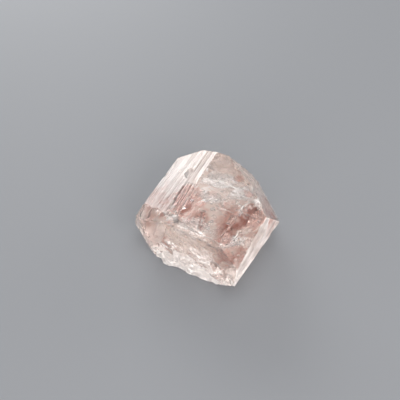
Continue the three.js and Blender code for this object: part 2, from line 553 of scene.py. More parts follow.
SCARS = (
    Scar((-12.4, 4.6), (6.0, 7.6), 20, 0.35),
    Scar((-8.6, 1.6), (7.0, 4.8), -25, 1.0),
    Scar((-8.2, 6.2), (7.6, 4.6), -40, 0.25),
    Scar((-4.6, 3.4), (5.4, 6.6), 30, 0.5),
    Scar((-1.6, 0.4), (6.8, 4.6), -8, 0.7),
    Scar((-0.6, 5.2), (8.2, 4.4), -30, 0.6),
    Scar((3.2, 2.8), (5.8, 6.8), 15, 0.5),
    Scar((5.8, 6.6), (8.6, 4.8), -45, 0.6),
    Scar((7.4, 2.4), (5.6, 4.4), 25, 0.5),
    Scar((10.6, 5.2), (4.6, 6.4), 10, 0.5),
    Scar((6.6, 11.6), (5.2, 9.0), 35, 0.2),
    Scar((10.8, 9.8), (3.6, 6.0), 30, 0.2),
    Scar((1.6, 10.4), (7.0, 5.0), -20, 0.15),
)
SCAR_MOUTH_ANGLE = math.radians(50)

CHIPS: tuple[tuple[Corner, float], ...] = (
    ((2.9, 12.0, 17.0), 1.6),
    ((6.9, 8.6, 17.1), 1.7),
    ((9.6, 6.5, 17.1), 1.8),
    ((12.8, 2.2, 17.0), 1.5),
    ((15.4, -0.9, 16.9), 1.3),
    ((12.0, -9.2, 17.1), 1.6),
    ((3.3, -13.5, 16.7), 1.4),
    ((-14.5, 4.9, 13.6), 1.5),
    ((-14.6, -5.9, 13.3), 1.2),
    ((15.9, 10.6, 3.8), 1.3),
    ((-17.2, 2.0, 5.2), 1.2),
    ((-17.1, -3.6, 5.3), 1.1),
)


@dataclass(frozen=True)
class Hollow:
    """A hollow of even depth in an upper face: outline [across from the ridge, along]."""

    depth: float
    outline: tuple[Point2, ...]

    def inside(self, across: Array, along: Array) -> Array:
        """Distance in from the outline, above 0 inside it.

        Args:
            across: Distance from the ridge in the face.
            along: Place along the c axis.

        Returns:
            Signed distances.
        """
        places = np.stack([across, along], axis=-1)
        corners = np.array((*self.outline, self.outline[0]))
        nearest = distance_to_line(places, corners)
        crossings = np.zeros(across.shape, bool)
        for a, b in zip(corners, corners[1:]):
            straddles = (a[1] > along) != (b[1] > along)
            meets = (b[0] - a[0]) * (along - a[1]) / (b[1] - a[1] + TINY) + a[0]
            crossings ^= straddles & (across < meets)
        return np.where(crossings, nearest, -nearest)


ETCH_PIT = Hollow(0.55, ((-4.9, 5.4), (-4.6, 7.9), (-3.1, 7.7), (-2.6, 5.2), (-3.4, 3.8)))
CLEFT = Hollow(1.2, ((5.0, -5.6), (5.9, -5.1), (6.4, -7.4), (7.3, -11.0), (6.7, -11.4)))
TERRACE = Facet("terrace", ((-6.0, 2.6, 15.37), (-7.6, -8.7, 14.83), (1.2, -4.5, THICKNESS)))
# Where cracks reach the top face, [across, along]: each is a white hairline.
HAIRLINES: tuple[tuple[Point2, ...], ...] = (
    ((3.8, -3.0), (5.9, -2.8), (8.5, -2.9), (9.3, -1.8), (11.6, -1.6), (12.4, -2.1), (14.1, -2.4)),
    ((11.9, 1.5), (12.9, 0.9), (13.6, 0.0), (13.8, -1.0)),
    ((8.2, -11.6), (8.3, -9.6), (8.6, -7.4), (9.1, -5.2), (8.5, -2.9), (8.9, -0.4), (9.6, 1.6)),
    ((9.3, -1.8), (10.4, -3.4), (12.6, -4.2)),
    ((0.9, -9.8), (2.7, -11.3), (4.3, -11.6), (4.6, -10.2), (5.3, -7.6)),
    ((9.3, -12.0), (10.2, -10.9), (10.9, -9.2), (10.6, -7.6)),
)

BROKEN_FACES = ("cleavage", "near_foot", "near_left_corner", "near_left_bevel", "near_right_bevel")
FAR_FACES = ("basal", "far_left_bevel", "lower_right_dome", "lower_far_dome", "right_underside")


@dataclass(frozen=True)
class Ground:
    """Uneven ground on some faces: its mean depth, its swells' height and width, and its steps."""

    faces: tuple[str, ...]
    mean: float
    swell: float
    width: float
    octaves: int = 4
    step: float = 0.0

    def depth(self, noise: Noise, points: Array) -> Array:
        """How far the ground lies below its face, in level steps where it has them."""
        depth = self.mean + self.swell * noise.rough(points, self.width, self.octaves)
        return terraced(depth, self.step) if self.step else depth


GROUNDS = (
    Ground(("resting",), 0.12, 0.1, 1.8),
    Ground(FAR_FACES, 0.1, 0.08, 2.4),
    Ground(("top",), 0.04, 0.05, 6.0, octaves=1, step=0.016),
    Ground(("right_wall", "right_dome"), 0.02, 0.03, 3.5, octaves=1),
)


class Trait(Enum):
    """What a patch of the surface has more or less of."""

    FROST = "frost"
    # Pink that is partly the topaz's own and partly painted warm shade, showing through the clear stone.
    PINK_AND_SHADE = "blush"
    GRAIN = "grain"
    LINES = "lines"
    FLUFF = "fluff"


@dataclass(frozen=True)
class Patch:
    """A ragged round patch of a trait on the surface: strength may be negative, to clear it."""

    centre: Corner
    radii: Corner
    strength: float
    fray: float = 0.35
    fade: float = 0.45

    def amount(self, points: Array, ragged: Array) -> Array:
        """How much of the trait the patch adds at points.

        Args:
            points: Places in the crystal's frame.
            ragged: Noise that frays the patch's rim.

        Returns:
            The strength inside, falling to 0 across the frayed rim.
        """
        away = np.linalg.norm((points - np.array(self.centre)) / np.array(self.radii), axis=-1)
        return self.strength * eased(1.0 - away + self.fray * ragged, 0.0, self.fade)


PATCHES: dict[Trait, tuple[Patch, ...]] = {
    Trait.FROST: (
        # the striated face and the worn terrace
        Patch((-10, 3, 14), (6, 7, 3.5), 0.06),
        Patch((-8.2, -5.6, 14.5), (2.6, 5, 2), -0.15),
        Patch((-4.8, -4.2, 15.4), (2.7, 8.6, 2), -1.1),
        Patch((-4.4, -10.2, 15.3), (1.7, 1.5, 1.4), 0.85),
        Patch((1.8, -12.2, 15.6), (9, 2.4, 2.2), 0.14),
        # clearer places underneath, seen through the top
        Patch((9.3, 6.5, 0.3), (2.6, 2.4, 3), -0.3),
        Patch((5.9, -3, 0), (1.8, 3.6, 2), -0.4),
        Patch((9.6, 2, 1), (3, 3.4, 2), -0.3),
        Patch((2.1, -8.4, 16), (1.2, 3.4, 1), -0.5),
        # the broken end, white at its foot
        Patch((1, -12, 10.5), (9, 3, 5), 0.35),
        Patch((0, -12, 0), (16, 5, 8), 1),
        Patch((7, -12.8, 5), (8, 3, 6), 0.2),
        Patch((2.5, -12, 2.3), (1.7, 2, 1.5), -0.5),
        Patch((-6.4, -10.7, 6.8), (1.9, 2, 1), 0.7),
        Patch((-1.7, -11.4, 5.1), (3.8, 2, 1.6), 0.4),
        Patch((2.6, -12, 9.6), (2.6, 2, 1.4), 0.3),
        # cloudy places on top
        Patch((-3.6, 4.2, 16), (1.6, 1.6, 1), 0.15),
        Patch((-2.4, 5, 16), (2.6, 1.4, 1), 0.25),
        Patch((1.2, 4.6, 16), (2.4, 1.6, 1), 0.3),
        Patch((6.5, 3.6, 16), (3.2, 1.7, 1), 0.5),
        Patch((11.6, 2.8, 16), (2, 2.2, 1), 0.6),
        Patch((1.6, -1.6, 16), (2.6, 1.4, 1), 0.2),
        Patch((2.6, -11.6, 16), (3.4, 1.7, 1), 0.3),
        Patch((12.8, -3.4, 16), (2.4, 3.4, 1), -0.6),
        Patch((9.2, -10.8, 16), (2.4, 2, 1), -0.3),
        # underneath
        Patch((1.5, 14.4, 0), (8, 3, 0.9), 1),
        Patch((0, -7, 0), (12, 5, 1.2), -0.6),
    ),
    # Pink, partly the topaz's own and partly painted warm shade, placed where dark warm colour shows
    # through the clear stone.
    Trait.PINK_AND_SHADE: (
        # the striated face and the worn terrace
        Patch((-11, -5, 13.5), (5, 7.5, 3.5), 0.75),
        Patch((-8.2, -5.6, 14.5), (2.6, 5, 2), 0.6),
        Patch((-4.4, -3.6, 15.6), (3.8, 8, 2), 1),
        Patch((-1.4, -5.4, 15.8), (3.4, 4.8, 2), 0.9),
        # painted shade underneath, seen through the top, that darkens the worn terrace
        Patch((-6.9, 1.9, 0), (3, 4.6, 1.5), 0.85),
        # painted warm shade in the clear window right of the middle
        Patch((11.8, -0.6, 16), (3.2, 2, 1), 0.9),
        Patch((11.4, -4.2, 16), (3.6, 3.4, 1), 1),
        Patch((8.4, -9, 16), (2.8, 6, 1), 0.7),
        Patch((6.6, -1.9, 16), (3.4, 2, 1), 0.5),
        Patch((7.4, -5.6, 16), (3, 3.4, 1), 0.5),
        Patch((11.4, -12.2, 13.7), (2.6, 3.6, 4), 0.3),
        # the right side, and painted shade underneath
        Patch((14.2, 4, 12.6), (2.4, 4, 4), 0.7),
        Patch((9.3, 6.9, 0.3), (3.2, 2.6, 3), 1),
        Patch((8.8, 2.4, 0.4), (3.4, 3.4, 3), 1),
        Patch((5.9, -3, 0), (2.6, 4.4, 2), 0.9),
        Patch((3.7, 5.5, 0), (3.8, 3, 1.5), 0.6),
        Patch((5, 12.1, 0.5), (2.2, 1.8, 1.5), 0.8),
        Patch((1.9, 15.1, 1.4), (1.6, 1.4, 1.4), 0.7),
        Patch((-0.8, -1.2, 0), (1.4, 3.6, 1.5), 0.5),
        # small warm spots
        Patch((4.6, 8.1, 16), (1.3, 1.3, 1), 0.8),
        Patch((8.4, 4.2, 16), (1.8, 1.4, 1), 0.7),
        Patch((10.3, -13.4, 13.4), (2.6, 2.4, 2.6), 0.6),
        Patch((1.3, -6.6, 16), (0.9, 1.5, 1), 0.7),
        Patch((2.2, -8.6, 16), (0.9, 1.7, 1), 0.7),
        Patch((3.1, -10.6, 16), (0.8, 1.3, 1), 0.6),
        # the outer sides
        Patch((12.6, 9, 8.4), (4, 4, 6), 0.9),
        Patch((15, 4.5, 9), (1.5, 5, 5), 0.4),
        Patch((-11.3, 7.5, 1.7), (4, 5, 3), 0.65),
        Patch((3.6, 0.6, 0), (2, 3.6, 1.5), 0.45),
        Patch((-11, -10.4, 8), (4.5, 2.5, 5), 0.45),
        Patch((8.9, -10.6, 16), (2.2, 2.6, 1.4), 0.8),
        Patch((12.8, -3.4, 16), (2.6, 3.6, 1), 1.1),
        Patch((0.9, 0.4, 16), (1.6, 1.8, 1), 0.35),
        Patch((0, -8.5, 16), (5, 3, 1), 0.45),
    ),
    Trait.GRAIN: (
        Patch((-8.2, -5.6, 14.5), (2.6, 5, 2), 0.5),
        Patch((-3.6, -4.4, 15.5), (4.6, 7.6, 2), 0.3),
        Patch((5.2, 3.6, 16), (5.5, 2.6, 1), 0.6),
        Patch((9.4, -1.4, 16), (4, 2, 1), 0.6),
        Patch((1.4, -9.6, 16), (3, 2.6, 1), 0.7),
        Patch((2.4, -1.2, 16), (2, 1.4, 1), 0.7),
        Patch((11.6, -9.6, 15.4), (3.2, 4, 2.4), 0.9),
        Patch((12, 2.6, 16), (2.4, 2.6, 1), 0.6),
        Patch((0, -12, 1), (17, 5, 6.6), 2.2),
    ),
    Trait.LINES: (
        Patch((-3.6, -3.4, 15.9), (5, 8, 2), 1),
    ),
    Trait.FLUFF: (
        Patch((-4.4, -10.2, 15.3), (1.7, 1.5, 1.4), 0.8),
        Patch((0, -12, 0), (17, 5, 7.8), 1.2),
        Patch((7, -12.8, 6), (8, 3, 7.5), 0.5),
        Patch((3.4, 2.6, 16), (9, 5.2, 1), 1),
        Patch((4.6, -11.2, 15.6), (9, 3, 1.6), 1),
    ),
}


@dataclass
class Relief:
    """The crystal's surface with its scars, chips, ledges and fine growth, all cut inwards."""

    body: CrystalBody
    growth: Noise = field(default_factory=lambda: Noise(11))
    breakage: Noise = field(default_factory=lambda: Noise(12))
    least_facing: float = 0.35
    ripple_height: float = 0.012
    ripple_length: float = 0.75
    hollow_bank: float = 0.25
    rim_fray: float = 0.12
    terrace_end: float = 2.4
    terrace_fade: float = 1.0
    terrace_depth: float = 0.05
    terrace_ledge: float = 0.022
    terrace_line: Corner = (0.36, 6.0, 0.36)
    fine_line: Corner = (0.23, 14.0, 0.23)
    coarse_line: Corner = (0.5, 30.0, 0.5)
    break_depth: float = 0.16
    break_swell: float = 0.22
    break_step: float = 0.08
    break_grit: float = 0.03
    deep_below: float = 4.0
    shallow_above: float = 8.5
    shallow_share: float = 0.25
    hackle_depth: float = 0.13
    least_wear: float = 0.02
    most_wear: float = 0.38
    wear_slope: float = 0.8
    rounded_width: float = 1.6
    rounding_slope: float = 0.3

    def __post_init__(self) -> None:
        """Starts from the flat-faced body and cuts the relief into it."""
        self.hull = self.body.grid()
        self.own = self.body.heights(self.hull).argmax(axis=-1)
        away = self.hull - self.body.origin
        self.reach = np.linalg.norm(away, axis=-1)
        self.rays = away / self.reach[..., None]
        facing = np.sum(self.rays * self.body.own_normals(self.own), axis=-1)
        self.facing = np.clip(facing, self.least_facing, 1.0)
        self.flat = self.body.flat_heights(self.hull)
        self.edge = -np.sort(self.flat, axis=-1)[..., -2]
        self.carve()
        self.points = self.body.origin + self.rays * self.reach[..., None]

    def on(self, *names: str) -> Array:
        """Where the surface belongs to one of the named faces."""
        return np.isin(self.own, [NUMBER[name] for name in names])

    def on_wall(self, stretch: Stretch) -> Array:
        """Where the surface belongs to a ledged prism face."""
        return (self.own == WALL) & (self.body.stretch == STRETCHES.index(stretch))[:, None]

    def off_edge(self, one: str, other: str) -> Array:
        """How far the surface lies from the line where two flat faces meet."""
        return -self.flat[..., [NUMBER[one], NUMBER[other]]].min(axis=-1)

    def torn(self, size: float, octaves: int = 3, shift: float = 0.0) -> Array:
        """Rough noise over the surface, for what broke."""
        return self.breakage.rough(self.hull + shift, size, octaves)

    def sink(self, depth: Array, where: Array | bool = True) -> None:
        """Lowers the surface by a depth square to its face, where asked and where that is inward."""
        self.reach = self.reach - np.where(where, np.maximum(depth, 0.0), 0.0) / self.facing

    def carve(self) -> None:
        """Cuts the relief, from the large forms to the small ones."""
        self.cut_ledges()
        self.cut_scars()
        self.cut_chips()
        self.cut_hollows()
        self.cut_terrace()
        self.grow_lines()
        self.roughen()
        self.wear_edges()

    def cut_ledges(self) -> None:
        """Steps the upper dome and the right wall in at their growth ledges."""
        for name, ledges in (("upper_dome", UPPER_DOME_LEDGES), ("right_wall", RIGHT_WALL_LEDGES)):
            start, end, beyond = (np.array(corner) for corner in FACETS[NUMBER[name]].corners)
            across = np.cross(self.body.normals[NUMBER[name]], unit(end - start))
            across = across * np.sign(across @ (beyond - start))
            run, depth = ledge_profile(ledges, DOME_RISER, 2 * ledges[-1][0])
            self.sink(np.interp((self.hull - start) @ across, run, depth), self.on(name))

    def cut_scars(self) -> None:
        """Sinks each scar's egg into the cleavage, with faint ripples spreading from its upper end."""
        cleavage = NUMBER["cleavage"]
        normal, offset = self.body.normals[cleavage], self.body.offsets[cleavage]
        heading = turned_about(2, math.atan2(normal[0], -normal[1]))
        rim, rise = math.sin(SCAR_MOUTH_ANGLE), math.cos(SCAR_MOUTH_ANGLE)
        for scar in SCARS:
            across, up = scar.at
            along = (offset - normal[0] * across - normal[2] * up) / normal[1]
            thickness = scar.depth / (1 - rise)
            radii = np.array([scar.mouth[0] / 2 / rim, thickness, scar.mouth[1] / 2 / rim])
            turn = heading @ turned_about(1, math.radians(scar.lean))
            mouth = np.array([across, along, up])
            centre = mouth + heading @ np.array([0.0, -thickness * rise, 0.0])
            cut = ball_entry(self.rays, self.body.origin, turn, radii, centre, self.reach)
            source = mouth + turn @ np.array([0.0, 0.0, scar.mouth[1] * 0.6])
            spread = np.linalg.norm(self.hull - source, axis=-1)
            ripple = self.ripple_height * (1.0 + np.sin(spread * (2 * np.pi / self.ripple_length)))
            self.reach = np.where(cut < self.reach, cut - ripple, self.reach)

    def cut_chips(self) -> None:
        """Takes a ball out of the sharp edges at each chip."""
        for centre, radius in CHIPS:
            radii = np.full(3, radius)
            place = np.array(centre)
            self.reach = ball_entry(self.rays, self.body.origin, np.eye(3), radii, place, self.reach)

    def hollow_rim(self, hollow: Hollow, slope: float = 0.0) -> Array:
        """Distance in from the frayed rim of a hollow.

        Args:
            hollow: The hollow.
            slope: How steeply its face falls away from the ridge, in radians.

        Returns:
            Signed distances over the surface, above 0 inside the hollow.
        """
        across = (self.hull[..., 0] - RIDGE[0]) / math.cos(slope)
        return hollow.inside(across, self.hull[..., 1]) + self.rim_fray * self.torn(1.1, 4)

    def cut_hollows(self) -> None:
        """Sinks the etch pit of the striated face and the cleft of the top face."""
        slope = math.atan2(RIDGE[1] - LEFT_SHOULDER[1], RIDGE[0] - LEFT_SHOULDER[0])
        pit = eased(self.hollow_rim(ETCH_PIT, slope), 0.0, self.hollow_bank)
        cleft = eased(self.hollow_rim(CLEFT), 0.0, self.hollow_bank)
        self.sink(ETCH_PIT.depth * pit, self.on_wall(STRIATED))
        self.sink(CLEFT.depth * cleft, self.on("top"))

    def cut_terrace(self) -> None:
        """Cuts the near half of the ridge down to a low terrace with fine ledges.

        Where the surface stands above the terrace's plane it sinks to that plane, and by a little more
        at each fine ledge. The terrace dies out along the ridge.
        """
        normal, offset = TERRACE.plane(self.body.origin)
        points = self.body.origin + self.rays * self.reach[..., None]
        fray = self.torn(1.6)
        before_end = self.terrace_end - self.hull[..., 1] - 0.8 * fray
        fade = eased(before_end, -self.terrace_fade, self.terrace_fade)
        height = points @ normal - offset
        fine = self.growth.at(self.hull, self.terrace_line)
        ledges = terraced(self.terrace_depth * (1.0 + fine), self.terrace_ledge)
        ledges = ledges * eased(height, 0.0, 0.12)
        worn = height + ledges + 0.03 * fray * eased(height, 0.0, 0.1)
        self.sink(worn * fade, self.on("top") | self.on_wall(STRIATED))

    def grow_lines(self) -> None:
        """Cuts fine growth lines along the c axis into the ledged prism faces."""
        fine = self.growth.at(self.hull, self.fine_line)
        coarse = self.growth.at(self.hull, self.coarse_line)
        fade = eased(self.edge, 0.0, 0.3)
        for stretch in STRETCHES:
            if stretch.wall:
                depth = stretch.lines * (0.8 + fine + 0.6 * coarse)
                self.sink(depth * fade, self.on_wall(stretch))

    def roughen(self) -> None:
        """Gives each face its own ground: stepped where it broke, uneven where it grew or rests.

        The broken end has level steps, full deep only low down, with small roughness over them.
        """
        fade = eased(self.edge, 0.0, 0.5)
        low = eased(self.hull[..., 2], self.shallow_above, self.deep_below)
        steps = terraced(self.break_depth + self.break_swell * self.torn(5.0), self.break_step)
        steps = steps * (self.shallow_share + (1.0 - self.shallow_share) * low)
        grit = self.break_grit * self.torn(1.1) * low
        self.sink((steps + grit) * fade, self.on(*BROKEN_FACES))
        for ground in GROUNDS:
            self.sink(ground.depth(self.growth, self.hull) * fade, self.on(*ground.faces))
        hackly = self.hackle_depth * np.abs(self.torn(0.9))
        self.sink(hackly * self.patched(Trait.GRAIN) * fade)

    def wear_edges(self) -> None:
        """Wears every edge, by more where chips have come away and between the top and the cleavage."""
        chipped = eased(self.torn(1.3), 0.25, 0.9)
        width = self.least_wear + (self.most_wear - self.least_wear) * chipped
        width = np.where(self.on("top") | self.on_wall(STRIATED), width / 2, width)
        self.sink(self.wear_slope * np.maximum(width - self.edge, 0.0))
        worn = np.maximum(1.0 - self.off_edge("top", "cleavage") / self.rounded_width, 0.0) ** 2
        self.sink(self.rounding_slope * self.rounded_width * worn, self.on("top", "cleavage"))

    def patched(self, trait: Trait) -> Array:
        """The sum of a trait's patches over the surface."""
        ragged = self.torn(1.7, 4, 3.1)
        return np.sum([patch.amount(self.hull, ragged) for patch in PATCHES[trait]], axis=0)


@dataclass(frozen=True)
class Skin:
    """A part of the crystal's mesh, in the crystal's frame, with every point's traits."""

    points: Array
    triangles: Array
    traits: dict[Trait, Array]


def joined(skins: list[Skin]) -> Skin:
    """All skins as one, with a trait of 0 where a skin lacks it.

    Args:
        skins: The skins, in order.

    Returns:
        The whole.
    """
    starts = np.cumsum([0] + [len(skin.points) for skin in skins])
    traits = {
        trait: np.concatenate([skin.traits.get(trait, np.zeros(len(skin.points))) for skin in skins])
        for trait in Trait
    }
    triangles = [skin.triangles + start for skin, start in zip(skins, starts)]
    return Skin(np.concatenate([skin.points for skin in skins]), np.concatenate(triangles), traits)


@dataclass
class Dressing:
    """How frosted, pink with painted shade, gritty, lined and torn the carved surface is, place by place.
    """

    relief: Relief
    most_frost: float = 1.6
    wall_unevenness: float = 0.15
    face_unevenness: float = 0.4
    hairline_width: float = 0.2
    hairline_fray: float = 0.35
    rounding_frost: float = 0.18
    # Painted highlight: white frost along the edge of the top and the right wall.
    edge_highlight_frost: float = 0.6
    cleft_frost: float = 0.35
    wear_frost: float = 0.35
    # Pink painted into the cleft, as shade in the hollow.
    cleft_blush: float = 0.7

    def face_frost(self) -> Array:
        """Each face's own frost, which is least even off the ledged prism faces.

        Returns:
            Frost over the surface.
        """
        relief = self.relief
        frost = np.array([facet.frost for facet in FACETS] + [0.0])[relief.own]
        for stretch in STRETCHES:
            frost = np.where(relief.on_wall(stretch), stretch.frost, frost)
        uneven = np.where(relief.own == WALL, self.wall_unevenness, self.face_unevenness)
        return frost * (1.0 + uneven * relief.growth.rough(relief.hull + 9.0, 2.6))

    def hairline_frost(self) -> Array:
        """The white hairlines where cracks reach the surface, frayed and of uneven strength.

        Returns:
            Frost over the surface.
        """
        relief, width = self.relief, self.hairline_width
        fray = [relief.torn(1.4, shift=shift) for shift in (0.0, 5.0)]
        places = relief.hull[..., :2] + self.hairline_fray * np.stack(fray, axis=-1)
        gap = np.min([distance_to_line(places, np.array(line)) for line in HAIRLINES], axis=0)
        bright = np.clip(1.0 + 0.8 * relief.growth.rough(relief.hull + 2.0, 1.2, 2), 0.2, 1.4)
        return bright * eased(gap, width, 0.25 * width) * relief.on("top", "near_right_bevel")

    def worn_frost(self, rim: Array) -> Array:
        """Frost along worn edges, with a painted highlight of white frost along the edge of the top and
        the right wall.

        Args:
            rim: Signed distance in from the cleft's rim.

        Returns:
            Frost over the surface.
        """
        relief = self.relief
        rounding = relief.off_edge("top", "cleavage")
        rounded = eased(rounding, 1.3 * relief.rounded_width, 0.3) * relief.on("top", "cleavage")
        # painted highlight: white frost along the edge of the top and the right wall
        corner = eased(relief.off_edge("top", "right_wall"), 0.5, 0.1) * relief.on("top", "right_wall")
        frost = self.rounding_frost * rounded + self.edge_highlight_frost * corner
        frost = frost + self.cleft_frost * eased(np.abs(rim - 0.1), 0.45, 0.1)
        patchy = 0.5 + 0.5 * relief.torn(0.8, 2)
        worn = self.wear_frost * eased(relief.edge, 0.22, 0.0) * patchy
        return frost + np.where(rounding < relief.rounded_width, 0.0, np.maximum(worn, 0.0))

    def traits(self) -> dict[Trait, Array]:
        """Every trait over the surface, from the faces, their edges and the patches.

        Returns:
            The amount of each trait at each grid point.
        """
        relief = self.relief
        rim = np.where(relief.on("top"), relief.hollow_rim(CLEFT), 1.0)
        lined = (relief.own == WALL) | relief.on("upper_dome", "right_wall")
        base = {
            Trait.FROST: self.face_frost() + self.hairline_frost() + self.worn_frost(rim),
            # pink painted into the cleft, as shade in the hollow
            Trait.PINK_AND_SHADE: self.cleft_blush * eased(rim, 0.0, 0.3) * (rim < 1.0),
            Trait.LINES: lined * 1.0,
        }
        most = {Trait.FROST: self.most_frost}
        return {
            trait: np.clip(base.get(trait, 0.0) + relief.patched(trait), 0.0, most.get(trait, 1.0))
            for trait in Trait
        }

    def skin(self) -> Skin:
        """The crystal's outer skin, closed, with each pole of the grid once.

        Returns:
            The skin.
        """
        index, triangles = grid_triangles(self.relief.body, self.relief.hull)
        points = np.zeros((index.max() + 1, 3))
        points[index.ravel()] = self.relief.points.reshape(-1, 3)
        traits = {trait: np.zeros(len(points)) for trait in Trait}
        for trait, values in self.traits().items():
            traits[trait][index.ravel()] = values.ravel()
        return Skin(points, triangles, traits)


# The corners of every grid cell, in order round it.
QUAD_CORNERS = (
    (slice(None, -1), slice(None, -1)),
    (slice(1, None), slice(None, -1)),
    (slice(1, None), slice(1, None)),
    (slice(None, -1), slice(1, None)),
)
FILM_THICKNESS = 0.03
REFRACTION = 1.62
VIEW_ELEVATION = math.radians(45)
# How much nearer a thing seems for each unit of its depth, seen from the front through the top face.
SIGHT_DRIFT = math.tan(math.asin(math.cos(VIEW_ELEVATION) / REFRACTION)) * AXES[:, 1]


@dataclass(frozen=True)
class Crack:
    """An open crack inside the crystal: a thin, crumpled film of air that hangs from a line.

    The line is given where it shows on the top face, [across, along]; depth is how far below that face
    it runs. From the line the crack falls away by `fall`, to the left of the line's heading, at `dip`
    degrees below level. `rim` is how white its upper rim is, in a band of the width `band`, and
    `low_rim` the other rims.
    """

    line: tuple[Point2, ...]
    depth: float
    fall: float
    dip: float
    crumple: float = 0.3
    size: float = 2.4
    frost: float = 0.05
    rim: float = 1.2
    band: float = 0.3
    low_rim: float = 0.6
    fluff: float = 0.0
    seed: int = 1
    columns: int = 36
    rows: int = 10

    def middle(self) -> tuple[Array, Array]:
        """The crack's middle surface and its normal.

        Each point lies on the line at s, moved down the dip by t times the fall; the fall shrinks to
        a fifth at the line's ends, and noise crumples the sheet along its normal.

        Returns:
            Points [columns, rows, 3] and one unit normal.
        """
        noise = Noise(100 + self.seed)
        knots = np.array(self.line)
        run = np.concatenate([[0.0], np.cumsum(np.linalg.norm(np.diff(knots, axis=0), axis=1))])
        share = np.linspace(0.0, 1.0, self.columns)
        place = np.stack([np.interp(share * run[-1], run, knots[:, k]) for k in (0, 1)], axis=-1)
        start = np.concatenate([place, np.full((self.columns, 1), THICKNESS - self.depth)], axis=1)
        start = start + self.depth * SIGHT_DRIFT
        heading = unit(knots[-1] - knots[0])
        dip = math.radians(self.dip)
        down = np.array([-heading[1] * math.cos(dip), heading[0] * math.cos(dip), -math.sin(dip)])
        normal = unit(np.cross(np.array([heading[0], heading[1], 0.0]), down))
        taper = 0.2 + 0.8 * np.sqrt(1.0 - (2.0 * share - 1.0) ** 2)
        ragged = 1.0 + 0.25 * noise.rough(start, 1.6)
        reach = (self.fall * taper * ragged)[:, None] * np.linspace(0.0, 1.0, self.rows)
        points = start[:, None] + reach[..., None] * down
        return points + (self.crumple * noise.rough(points, self.size))[..., None] * normal, normal

    def film(self, body: CrystalBody) -> Skin:
        """The closed film of air about the middle surface, its faces looking into the film.

        Both skins stand off the middle by half the film's thickness, which falls to nothing along
        the rim, where they share their points.

        Args:
            body: The body, which the film stays inside.

        Returns:
            The film's two skins as one.
        """
        middle, normal = self.middle()
        middle = body.held_inside(middle)
        s = np.linspace(-1.0, 1.0, self.columns)[:, None]
        t = np.linspace(-1.0, 1.0, self.rows)[None, :]
        bulge = np.sqrt(np.clip((1 - s**2) * (1 - t**2), 0.0, 1.0))[..., None] * (FILM_THICKNESS / 2)
        upper = np.arange(middle.shape[0] * middle.shape[1]).reshape(middle.shape[:2])
        inner = np.zeros(upper.shape, bool)
        inner[1:-1, 1:-1] = True
        lower = np.where(inner, 0, upper)
        lower[inner] = upper.size + np.arange(inner.sum())
        skins = [(middle + bulge * normal).reshape(-1, 3), (middle - bulge * normal)[inner]]
        rims = np.full(inner.shape, self.frost)
        rims[[0, -1]] = rims[:, -1] = self.low_rim
        rims[:, : 1 + round(self.band / self.fall * (self.rows - 1))] = self.rim
        frost = np.concatenate([rims.ravel(), rims[inner]])
        fluff = self.fluff * np.concatenate([inner.ravel(), np.ones(inner.sum())])
        corners = [skin[rows, columns] for skin in (upper, lower) for rows, columns in QUAD_CORNERS]
        a, b, c, d, e, f, g, h = corners
        faces = [np.stack(three, axis=-1) for three in ((c, b, a), (d, c, a), (e, f, g), (e, g, h))]
        triangles = np.concatenate([face.reshape(-1, 3) for face in faces])
        return Skin(np.concatenate(skins), triangles, {Trait.FROST: frost, Trait.FLUFF: fluff})


def veil(line: tuple[Point2, ...], depth: float, fall: float, seed: int, dip: float = -12.0) -> Crack:
    """A white veil of fine cracks that rises gently from its line."""
    look = {"frost": 0.9, "rim": 0.9, "fluff": 1.0, "columns": 24, "rows": 12}
    return Crack(line, depth, fall, dip, crumple=0.12, size=1.5, seed=seed, **look)


CRACKS = (
    # right of the middle: bright forked cracks over warm clear ground
    Crack(
        ((3.8, -3.0), (5.9, -2.8), (8.5, -2.9), (9.3, -1.8), (11.6, -1.6), (14.0, -2.4)),
        depth=0.3, fall=1.3, dip=130, crumple=0.15, size=1.6, band=0.32, seed=1,
    ),
    Crack(
        ((12.0, 1.4), (13.1, 0.6), (13.7, -0.7)),
        depth=0.3, fall=1.0, dip=130, crumple=0.15, size=1.4, band=0.32, seed=2,
    ),
    Crack(
        ((8.0, -11.8), (8.3, -9.6), (8.6, -7.4), (9.0, -5.2), (8.5, -2.9)),
        depth=0.3, fall=1.6, dip=65, crumple=0.25, size=1.6, band=0.4, seed=3,
    ),
    Crack(
        ((9.3, -1.8), (8.8, -0.2), (9.4, 1.6)),
        depth=0.3, fall=1.4, dip=60, crumple=0.2, size=1.6, band=0.4, seed=6,
    ),
    Crack(
        ((9.4, -12.0), (10.4, -10.9), (11.1, -9.2)),
        depth=0.4, fall=1.2, dip=70, crumple=0.2, size=1.4, seed=7,
    ),
    # a silvery film left of them
    Crack(((8.4, -6.8), (9.0, -2.6)), depth=0.6, fall=2.4, dip=40, seed=9, columns=24, rows=16),
)  # fmt: skip
VEILS = (
    veil(((-3.5, 3.4), (0.5, 3.0), (4.8, 4.2)), 1.2, 2.6, 20),
    veil(((-2.8, 5.6), (1.2, 5.4), (4.0, 6.6)), 1.6, 2.6, 21),
    veil(((4.4, 0.8), (7.5, 1.6), (11.4, 2.2)), 1.3, 2.4, 22),
    veil(((-3.2, -0.8), (0.4, -1.8), (4.4, -1.4)), 1.6, 2.4, 23),
    veil(((-1.6, -10.4), (1.6, -9.4), (4.8, -10.2)), 1.3, 2.0, 24),
    veil(((8.8, -13.0), (10.6, -12.0), (12.6, -10.2)), 1.6, 2.0, 25, dip=-10.0),
    veil(((5.6, 4.2), (8.6, 4.8), (10.4, 4.4)), 1.8, 2.0, 26),
)


